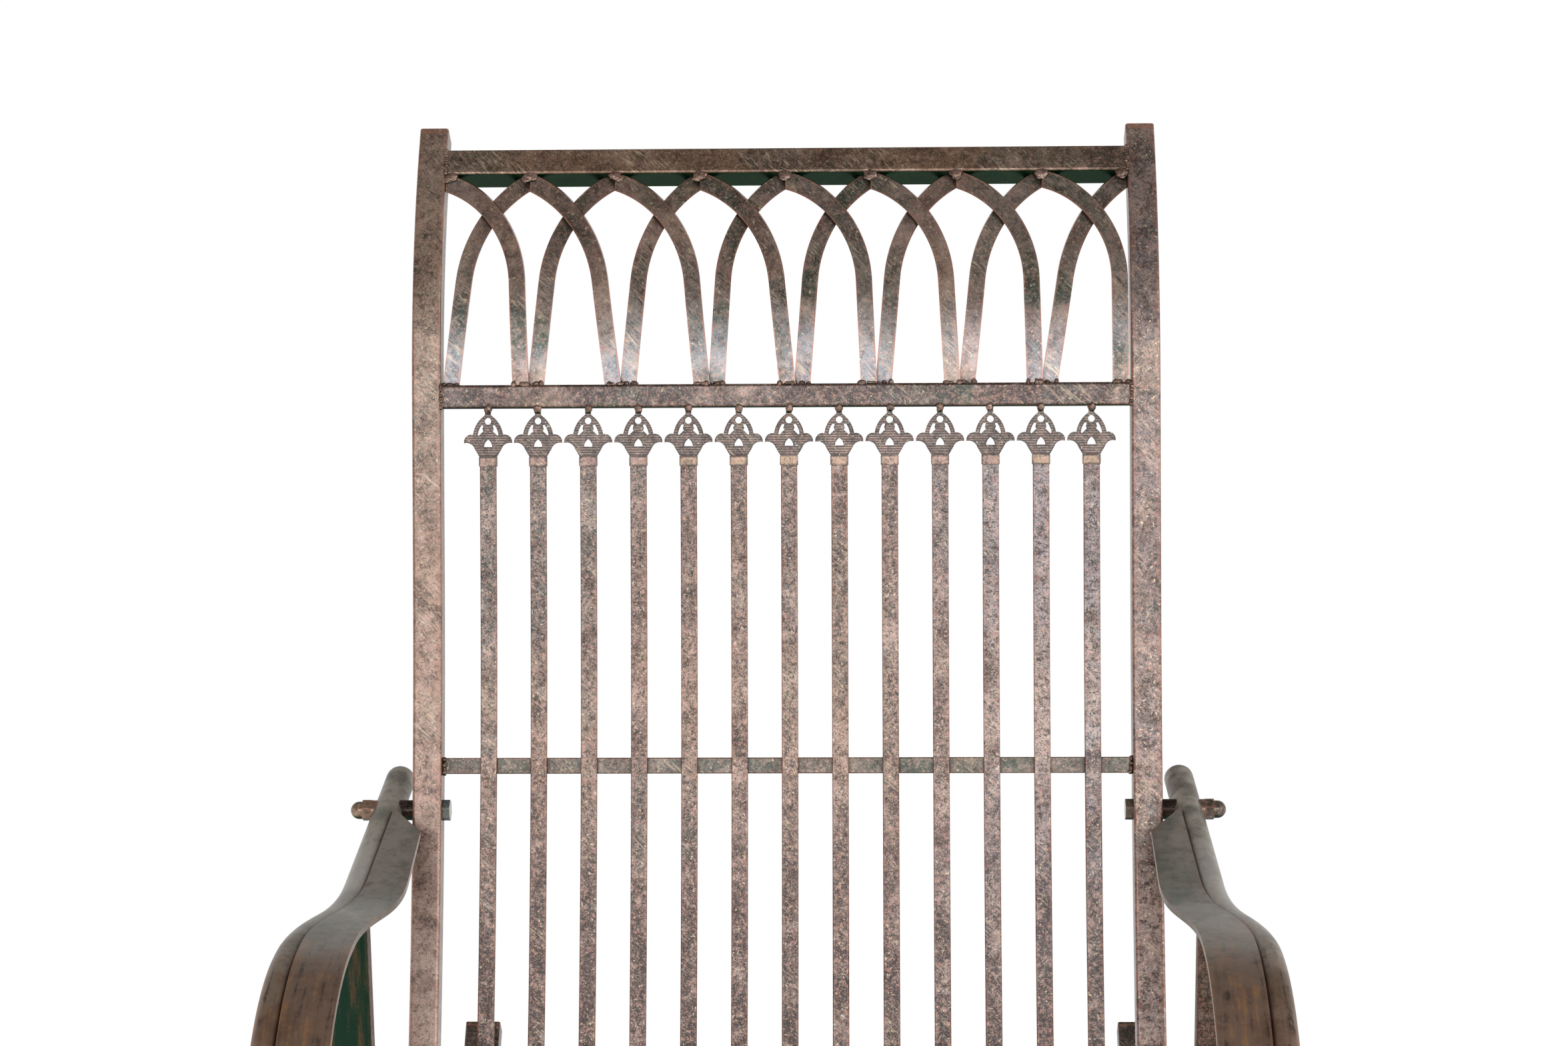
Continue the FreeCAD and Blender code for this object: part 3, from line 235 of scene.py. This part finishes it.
class Paint(Shader):
    """Dark paint rubbed with copper, put on in layers."""

    def __init__(self, name, mixture):
        super().__init__(name)
        self.mixture = mixture
        self.normal = self.node("NewGeometry").outputs["Normal"]
        self.facing = self.node("SeparateXYZ", {"Vector": self.normal}).outputs
        self.spot = self.node("SeparateXYZ", {"Vector": self.place}).outputs
        blotches = self.patches(12, 0.42, 0.58, detail=4)
        self.colour = self.mix(blotches, tone(mixture.main), tone(mixture.second))

    def lay(self, colour, where, share):
        """Another colour over the paint, where a pattern says and in some share."""
        self.colour = self.mix(self.both(where, share), self.colour, colour)

    def tints(self):
        """Soft patches: rose and dark spots lower down, green and gold anywhere, a golden belt at the
        cross bar, a painted cool sheen at the feet of the arches, a colour of its own on the right, and
        painted light and shade on the lowest part of the back and on the seat."""
        mixture = self.mixture
        height = self.spot["Z"]
        lower = self.ramp(height, *LOWER_BACK)
        belt = self.both(self.ramp(height, *BELT_TOP), self.ramp(height, *BELT_FOOT))
        feet = self.ramp(height, *SHEEN_AT_ARCH_FEET)
        spotted = self.patches(230, 0.49, 0.42, detail=4, roughness=0.65)
        self.lay(ROSE, self.both(lower, self.patches(16, 0.35, 0.6)), mixture.rose)
        self.lay(GREEN, self.patches(19, 0.53, 0.62, detail=4), mixture.green)
        self.lay(GOLD, self.patches(23, 0.54, 0.68, detail=4), mixture.gold)
        self.lay(mixture.right, self.ramp(self.spot["X"], *RIGHT_SIDE), mixture.right_share)
        self.lay(GOLD, self.both(belt, self.patches(15, 0.35, 0.55)), mixture.belt)
        # A cool painted sheen low on the arches
        self.lay(STEEL, self.both(feet, self.patches(14, 0.40, 0.56)), mixture.painted_feet_sheen)
        # Painted light and shade on the lowest part: paler on the rails, darker on the slats
        self.lay(mixture.low, self.ramp(height, *SEAT_AND_BEND), mixture.low_light_and_shade_share)
        self.lay(DEEP_BROWN, self.both(lower, spotted), mixture.spots)

    def grain(self):
        """Clouds, dark and pale, then fine grain with copper highs and dark lows."""
        mixture = self.mixture
        for per_metre in (21, 52, 130):
            shade = self.clouds(per_metre, detail=6, roughness=0.68)
            self.lay(DEEP_BROWN, self.ramp(shade, 0.50, 0.66), mixture.dark)
            self.lay(PALE_COPPER, self.ramp(shade, 0.46, 0.32), mixture.copper)
        self.height = self.clouds(330, detail=4, roughness=0.7)
        for pattern in (self.height, self.clouds(900, roughness=0.68)):
            self.lay(COPPER, self.ramp(pattern, 0.51, 0.64), mixture.copper)
            self.lay(DEEP_BROWN, self.ramp(pattern, 0.49, 0.37), mixture.speckle)

    def streaks(self):
        """Rust, brass and dark streaks along the arms, strongest at the front, and a pale painted sheen on a
        stretch behind.
        """
        along = self.spot["Y"]
        forward = self.ramp(along, *ARM_FRONT)
        rear = self.ramp(along, *ARM_REAR)
        painted_sheen_stretch = self.both(self.ramp(along, *SHEEN_STRETCH_REAR), self.ramp(along, *SHEEN_STRETCH_FRONT))
        self.lay(DEEP_BROWN, self.both(rear, self.patches(40, 0.42, 0.6, detail=5)), share=0.6)
        # Pale patch painted as sheen
        self.lay(CHALK, painted_sheen_stretch, self.mixture.painted_sheen_stretch)
        self.lay(RUST, forward, share=0.7)
        lines = self.lines((210, 14, 14), detail=5, roughness=0.62)
        breaks = self.clouds(90, detail=5, roughness=0.7)
        broken = self.calculate("MULTIPLY_ADD", breaks, 1 - LINE_SHARE, self.both(lines, LINE_SHARE))
        strength = self.between(forward, REAR_STREAKS, FRONT_STREAKS)
        self.lay(BRASS, self.both(self.ramp(broken, 0.50, 0.62), strength), share=0.9)
        self.lay(DEEP_BROWN, self.both(self.ramp(broken, 0.48, 0.36), strength), share=0.9)

    def stripes(self):
        """Close level ridges, as on the castings."""
        inputs = {"Vector": self.place, "Scale": 190, "Distortion": 0.6}
        ridges = self.node("TexWave", inputs, bands_direction="Z").outputs["Fac"]
        self.height = self.calculate("MULTIPLY_ADD", ridges, RIDGE_HEIGHT, self.height)
        self.lay(DEEP_BROWN, self.ramp(ridges, 0.5, 0.1), share=0.75)

    def paint_green_coat_and_shade(self):
        """The green first coat, left unrubbed and darkened as painted shade, on the front of the left post
        just under the arm.
        """
        front = self.both(self.ramp(self.spot["Z"], *UNDER_ARM), self.ramp(self.facing["Y"], *FACES_FRONT))
        where = self.both(front, self.ramp(self.spot["X"], *LEFT_HALF))
        runs = self.lines((190, 60, 16), detail=5, roughness=0.65)
        # Dark first coat laid as painted shade under the arm
        self.lay(BASE_COAT, where, share=0.9)
        self.lay(BARE_GREEN, self.both(where, self.ramp(runs, 0.42, 0.58)), share=0.95)
        self.lay(RUST, self.both(where, self.ramp(runs, 0.46, 0.34)), share=0.5)

    def scratches(self):
        """Fine slanting lines, in places."""
        where = self.patches(24, 0.45, 0.62)
        for slant, colour in ((-38, PALE_COPPER), (-55, DEEP_BROWN), (-47, DEEP_BROWN), (-43, PALE_GOLD)):
            lines = self.lines((45, 200, 760), detail=2, roughness=0.5, slant=slant)
            self.lay(colour, self.both(self.ramp(lines, 0.58, 0.70), where), self.mixture.scratch)

    def edges(self):
        """Edges rubbed bright, or lined dark, with gaps."""
        reach = {"Radius": self.mixture.edge_reach * MM}
        softened = self.node("Bevel", reach, samples=NEIGHBOUR_SAMPLES).outputs["Normal"]
        pair = {0: softened, 1: self.normal}
        flatness = self.node("VectorMath", pair, operation="DOT_PRODUCT").outputs["Value"]
        gaps = self.patches(75, 0.34, 0.54, detail=4, roughness=0.6)
        self.lay(self.mixture.edge, self.both(self.ramp(flatness, *AT_EDGE), gaps), self.mixture.edge_share)

    def specks(self):
        """Glints of gold and flecks of chalk."""
        self.lay(PALE_GOLD, self.patches(480, 0.60, 0.70, roughness=0.6), self.mixture.glints)
        self.lay(CHALK, self.patches(390, 0.69, 0.74, detail=2), self.mixture.flecks)

    def corners(self):
        """Painted shade: darker where nearby surfaces close in, in corners and joints."""
        reach = {"Distance": CORNER_REACH}
        openness = self.node("AmbientOcclusion", reach, samples=NEIGHBOUR_SAMPLES).outputs["AO"]
        self.lay(DEEP_BROWN, self.ramp(openness, *IN_CORNER), share=0.75)

    def dry(self):
        """The dark green first coat, darkened as painted shade, on faces that look down; then the sheen."""
        gloss, coat = self.mixture.gloss, self.mixture.coat
        # Faces that look down get the dark first coat, which also stands as painted shade under them
        under = self.ramp(self.facing["Z"], *FACES_DOWN)
        self.lay(BASE_COAT, under, share=0.95)
        uneven = self.ramp(self.clouds(60, detail=4), 0.2, 0.8, smooth=False)
        bump = {"Strength": GRAIN_STRENGTH, "Distance": GRAIN_DEPTH, "Height": self.height}
        surface = self.node("BsdfPrincipled", {
            "Base Color": self.colour,
            "Metallic": METAL_SHARE,
            "Specular Tint": DULL,
            "Roughness": self.between(uneven, gloss - GLOSS_SPREAD / 2, gloss + GLOSS_SPREAD / 2),
            "Normal": self.node("Bump", bump).outputs["Normal"],
            "Coat Roughness": COAT_ROUGHNESS,
            "Coat Weight": self.between(under, coat, coat * (1 - COAT_LOST_BELOW)),
        })
        return self.finish(surface.outputs["BSDF"])


def antique_bronze(name, mixture):
    """The material of one mixture, with its layers in order."""
    paint = Paint("paint_" + name, mixture)
    paint.tints()
    paint.grain()
    if mixture.streaked:
        paint.streaks()
    if mixture.striped:
        paint.stripes()
    if mixture.green_coat_and_painted_shade:
        paint.paint_green_coat_and_shade()
    paint.scratches()
    paint.edges()
    paint.specks()
    paint.corners()
    return paint.dry()


# The paint differs from piece to piece, as the rub does; some mixtures also carry painted light and shade
MIXTURES = {
    # The left rail is paler low down as painted light; the right rail's colours are darker than the left's as
    # painted shade, with some pale painted light low down too
    "left_rail": Mixture(
        "#998573", "#938170", rose=0.6, gold=0.5, low=PALE_COPPER, low_light_and_shade_share=1, dark=0.55, speckle=0.45,
        edge_reach=4, glints=0.6, flecks=0.3),
    "right_rail": Mixture(
        "#7d6e69", "#7f6f63", rose=0.5, green=0.55, gold=0.75, right_share=0.15, low=PALE_COPPER,
        low_light_and_shade_share=0.3, spots=0.85, dark=0.6, speckle=0.55, edge_reach=4, glints=0.9, flecks=0.3),
    "top_rail": Mixture(
        "#866b53", "#776b59", gold=0.3, dark=0.6, copper=0.4, speckle=0.3, scratch=0.55),
    "mid_rail": Mixture(
        "#4a3f3a", "#4c4a48", green=0.7, dark=0.7, copper=0.38, speckle=0.3, scratch=0.3),
    "arches": Mixture(
        "#8a7365", "#807a6f", green=0.9, gold=0.55, painted_feet_sheen=0.55, copper=0.4, speckle=0.3, scratch=0.55,
        glints=0.7, gloss=0.3, coat=0.8),
    # The slats darken towards the bottom as painted shade
    "slats": Mixture(
        "#766860", "#6d6c66", rose=0.5, green=0.35, gold=0.25, right_share=0.38, belt=0.35, low_light_and_shade_share=0.85,
        spots=0.3, dark=0.7, speckle=0.8, scratch=0.28, edge_share=0.5, glints=0.6, flecks=0.35),
    "cross_bars": Mixture(
        "#6b6256", "#5c6156", green=0.6, gold=0.4, copper=0.3, edge_share=0.5),
    "arms": Mixture(
        "#a89e92", "#989586", green=0.4, gold=0.15, dark=0.3, copper=0.05, speckle=0.1, scratch=0,
        edge_share=0.4, glints=0.05, gloss=0.32, coat=0.7, streaked=True),
    # Paler than the arms' mixture: painted sheen on the tubes
    "arm_tubes": Mixture(
        "#cac1b3", "#b9b4a4", green=0.4, gold=0.15, dark=0.3, copper=0.05, speckle=0.1, scratch=0,
        edge_share=0.4, glints=0.05, gloss=0.46, coat=0.35, streaked=True, painted_sheen_stretch=0.5),
    "castings": Mixture(
        "#96877f", "#978a80", edge=DEEP_BROWN, edge_share=0.75, flecks=0.7, striped=True),
    "collars": Mixture(
        "#b89c7f", "#ab8b80", dark=0.3, edge=DEEP_BROWN, edge_share=0.9),
    "welds": Mixture(
        "#8d7162", "#7d6658", scratch=0, edge_share=0),
    "nuts": Mixture(
        "#957a5a", "#9f8c74", right=LEAD, right_share=0.85, dark=0.4, copper=0.25, scratch=0.1,
        gloss=0.28, coat=0.8),
    "bolts": Mixture(
        "#6f807a", "#8a9a95", right=BRONZE, right_share=0.8, dark=0.4, copper=0.1, scratch=0.1,
        edge_share=0.2, gloss=0.26, coat=1),
    # Near black: painted shade of the gap between the arm's tube and the upright
    "spacers": Mixture(
        "#1a1512", "#241c16", gold=0, copper=0.1, scratch=0, edge_share=0.1, glints=0, coat=0.1),
    "posts": Mixture(
        "#6d5b4d", "#5f574c", green=0.4, scratch=0, glints=0, coat=0.3, green_coat_and_painted_shade=True),
    "rockers": Mixture(
        "#544b43", "#48433c", green=0.3, gold=0, copper=0.25, speckle=0.3, edge_share=0.5),
}
PAINTS = {name: antique_bronze(name, mixture) for name, mixture in MIXTURES.items()}

# Paint of each piece, by how its name starts; the first that fits counts
PAINT_OF = {
    "side_rail_left": "left_rail",
    "side_rail_right": "right_rail",
    "rail_caps": "left_rail",
    "top_rail": "top_rail",
    "mid_rail": "mid_rail",
    "arch_bar": "arches",
    "slat_collars": "collars",
    "slat_": "slats",
    "back_cross": "cross_bars",
    "seat_": "cross_bars",
    "arm_tube": "arm_tubes",
    "arm_strip": "arms",
    "finials": "castings",
    "acorn": "nuts",
    "bolt_washers": "nuts",
    "hex": "bolts",
    "bolt_spacers": "spacers",
    "rear_post": "posts",
    "rocker": "rockers",
    "stretcher": "rockers",
}
for node_name, part in nodes.items():
    paint_name = next(name for start, name in PAINT_OF.items() if node_name.startswith(start))
    part.data.materials.clear()
    part.data.materials.append(PAINTS[paint_name])

# Edges of the flat bars, castings and end caps are eased a little
EASED = {"arch_bar": 0.4 * MM, "finials": 0.4 * MM, "arm_strip": 0.4 * MM, "rail_caps": 1.5 * MM}
SHARP_FROM = math.radians(40)


def ease_edges(part, width):
    ease = part.modifiers.new("eased_edges", "BEVEL")
    ease.width = width
    ease.segments = 2
    ease.limit_method = "ANGLE"
    ease.angle_limit = SHARP_FROM


for node_name, part in nodes.items():
    for start, width in EASED.items():
        if node_name.startswith(start):
            ease_edges(part, width)

# Weld metal: uneven lumps where bars and castings meet the rails of the back.
# The bars lean back by degrees; half sizes and the beads' size and shift are in millimetres.
MID_RAIL_LEAN = 12.5
TOP_RAIL_LEAN = 39.1
CROSS_BAR_LEAN = 16
HALF_MID_RAIL = 8.1
HALF_TOP_RAIL = 10
HALF_ARCH_BAR = 5.6
BEAD_SIZE = 3.2
BEAD_SPREAD = (0.8, 1.25)
BEAD_SHIFT = 0.4
UNEVENNESS = 0.3
BUMPS_PER_LUMP = 1.6
NOISE_FIELD = 50
ARCH_COUNT = 8
SLAT_COUNT = 13
# One seed, so that the lumps come out alike each time
chance = random.Random(7)


class Welds:
    """Lumps of weld metal along one bar that leans back by some degrees."""

    def __init__(self, name, carrier, lean):
        self.name = name
        self.shape = bmesh.new()
        low, high = (Vector(corner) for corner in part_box(carrier))
        self.middle = (low + high) / 2
        self.turn = Matrix.Rotation(math.radians(-lean), 3, "X")

    def lump(self, x, out, up, width, depth, height):
        """One uneven ball: x in metres, the rest in millimetres from the bar's middle line."""
        sizes = Vector((width, depth, height)) * MM / 2
        place = Vector((x, self.middle.y, self.middle.z)) + self.turn @ Vector((0, -out, up)) * MM
        drift = Vector([chance.uniform(0, NOISE_FIELD) for _ in range(3)])
        for vertex in bmesh.ops.create_icosphere(self.shape, subdivisions=3, radius=1)["verts"]:
            uneven = 1 + UNEVENNESS * noise.noise(vertex.co * BUMPS_PER_LUMP + drift)
            vertex.co = place + self.turn @ (vertex.co * uneven * sizes)

    def bead(self, x, out, ups, size):
        """A run of small lumps up a bar's face."""
        for up in ups:
            width, depth, height = (size * chance.uniform(*BEAD_SPREAD) for _ in range(3))
            shift = chance.uniform(-BEAD_SHIFT, BEAD_SHIFT) * MM
            self.lump(x + shift, out, up, width, depth, height)

    def done(self):
        for face in self.shape.faces:
            face.smooth = True
        mesh = bpy.data.meshes.new(self.name)
        self.shape.to_mesh(mesh)
        self.shape.free()
        mesh.materials.append(PAINTS["welds"])
        piece = bpy.data.objects.new(self.name, mesh)
        scene.collection.objects.link(piece)
        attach(piece, "root")


def middle_of(node_name):
    low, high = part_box(node_name)
    return (low[0] + high[0]) / 2


inner_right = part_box("top_rail")[1][0]
bays = range(1, ARCH_COUNT + 1)
peaks = [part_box(f"arch_bar_front_{bay}")[0][0] for bay in bays] + [inner_right]
right_feet = [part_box(f"arch_bar_front_{bay}")[1][0] - HALF_ARCH_BAR * MM for bay in bays]
left_feet = [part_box(f"arch_bar_rear_{bay}")[0][0] + HALF_ARCH_BAR * MM for bay in bays]
slat_places = [middle_of(f"slat_{number:02d}") for number in range(1, SLAT_COUNT + 1)]

# Under the top rail at the arches' peaks, and at the rail's ends
top_welds = Welds("welds_top_rail", "top_rail", TOP_RAIL_LEAN)
furthest = inner_right - 4 * MM
for peak in peaks:
    x = max(-furthest, min(furthest, peak))
    top_welds.lump(x, out=8.2, up=-11.2, width=9.5, depth=4, height=8.5)
    top_welds.lump(x + chance.uniform(-3, 3) * MM, out=7.8, up=-13.5, width=7, depth=3, height=6)
for side in (-1, 1):
    top_welds.bead(side * inner_right, out=HALF_TOP_RAIL - 0.6, ups=range(-9, 10, 2), size=BEAD_SIZE)
top_welds.done()

# Under the mid rail at the slats, on it at the arches' feet, and at the rail's ends
mid_welds = Welds("welds_mid_rail", "mid_rail", MID_RAIL_LEAN)
for slat_place in slat_places:
    x = slat_place + chance.uniform(-0.5, 0.5) * MM
    mid_welds.lump(x, out=7.2, up=-8.4, width=5.4, depth=4.2, height=chance.uniform(5.5, 7.5))
for feet, out in ((right_feet, 7), (left_feet, 3.4)):
    for foot in feet:
        for step in (-4, 0, 4):
            x = foot + (step + chance.uniform(-1.5, 1.5)) * MM
            width = chance.uniform(3, 6)
            mid_welds.lump(x, out, up=8.4, width=width, depth=3.2, height=chance.uniform(2, 5.5))
for side in (-1, 1):
    mid_welds.bead(side * inner_right, out=HALF_MID_RAIL - 0.4, ups=range(-7, 8, 2), size=BEAD_SIZE)
mid_welds.done()

# At the cross bar's ends
bar_welds = Welds("welds_cross_bar", "back_cross_bar", CROSS_BAR_LEAN)
for side in (-1, 1):
    bar_welds.bead(side * (inner_right - 1 * MM), out=1.6, ups=(-4.5, -2, 1, 4.5), size=4)
bar_welds.done()

# Camera, as the photograph was taken: just right of the middle, looking down at the upper back
CAMERA_PLACE = (0.0673, -2.194, 1.3456)
CAMERA_SWING = 1.75
CAMERA_FALL = 13
CAMERA_ROLL = -0.62

camera_data = bpy.data.cameras.new("camera")
camera_data.sensor_fit = "HORIZONTAL"
camera_data.sensor_width = 36
camera_data.lens = 76.56
camera = bpy.data.objects.new("camera", camera_data)
swing = Matrix.Rotation(math.radians(CAMERA_SWING), 4, "Z")
pitch = Matrix.Rotation(math.radians(90 - CAMERA_FALL), 4, "X")
roll = Matrix.Rotation(math.radians(CAMERA_ROLL), 4, "Z")
camera.matrix_world = Matrix.Translation(CAMERA_PLACE) @ swing @ pitch @ roll
scene.collection.objects.link(camera)
scene.camera = camera

# Floor: pale and matt under the chair, where it keeps the shadow, and white further away
FLOOR_SIZE = 60
FLOOR_WHITENS = (0.45, 1.12)
NEAR_WHITE = 0.62


def white_floor():
    """A pale floor that turns into the white of the photograph away from the chair."""
    shader = Shader("floor_white")
    level = {0: shader.place, 1: (1, 1, 0)}
    flat = shader.node("VectorMath", level, operation="MULTIPLY").outputs["Vector"]
    away = shader.node("VectorMath", {0: flat}, operation="LENGTH").outputs["Value"]
    whiteness = shader.between(shader.ramp(away, *FLOOR_WHITENS), NEAR_WHITE, 1)
    paths = shader.node("LightPath").outputs
    seen = shader.calculate("MAXIMUM", paths["Is Camera Ray"], paths["Is Glossy Ray"])
    pale = shader.mix(shader.clouds(3), tone("#b4b4b4"), tone("#bababa"))
    matt = shader.node("BsdfDiffuse", {"Color": pale}).outputs["BSDF"]
    glow = shader.node("Emission", {"Color": WHITE, "Strength": 1}).outputs["Emission"]
    surface = shader.node("MixShader", {0: shader.both(seen, whiteness), 1: matt, 2: glow})
    return shader.finish(surface.outputs["Shader"])


bpy.ops.mesh.primitive_plane_add(size=FLOOR_SIZE)
floor = bpy.context.object
floor.name = "floor"
floor.data.materials.append(white_floor())

# Studio light: a wide soft box in front, a smaller one on the right, and white surroundings
BACK_MIDDLE = (0, 0, 0.8)
COOL_LIGHT = (0.85, 0.93, 1)
WHITE_LIGHT = (1, 1, 1)
HORIZON_LIGHT = 1
OVERHEAD_LIGHT = 0.26
OVERHEAD_FROM = 0.6


def soft_box(name, place, width, height, power, colour):
    """A rectangular studio light, turned to the middle of the back."""
    lamp = bpy.data.lights.new(name, "AREA")
    lamp.shape = "RECTANGLE"
    lamp.size = width
    lamp.size_y = height
    lamp.energy = power
    lamp.color = colour
    light = bpy.data.objects.new(name, lamp)
    light.location = place
    light.rotation_euler = (Vector(BACK_MIDDLE) - Vector(place)).to_track_quat("-Z", "Y").to_euler()
    scene.collection.objects.link(light)


soft_box("front_box", place=(0.2, -3.6, 2.05), width=3.6, height=1.3, power=43, colour=COOL_LIGHT)
soft_box("right_box", place=(2.8, -1.6, 1.6), width=1.2, height=1.4, power=20, colour=WHITE_LIGHT)


def white_studio():
    """Surroundings that are white at the horizon and dim overhead."""
    world = bpy.data.worlds.new("white_studio")
    world.use_nodes = True
    tree = world.node_tree
    facing = tree.nodes.new("ShaderNodeTexCoord")
    split = tree.nodes.new("ShaderNodeSeparateXYZ")
    height = tree.nodes.new("ShaderNodeMapRange")
    height.inputs["From Min"].default_value = 0
    height.inputs["From Max"].default_value = OVERHEAD_FROM
    height.inputs["To Min"].default_value = HORIZON_LIGHT
    height.inputs["To Max"].default_value = OVERHEAD_LIGHT
    sky = tree.nodes["Background"]
    sky.inputs["Color"].default_value = WHITE
    tree.links.new(facing.outputs["Generated"], split.inputs["Vector"])
    tree.links.new(split.outputs["Z"], height.inputs["Value"])
    tree.links.new(height.outputs["Result"], sky.inputs["Strength"])
    return world


scene.world = white_studio()
scene.view_settings.view_transform = "Standard"
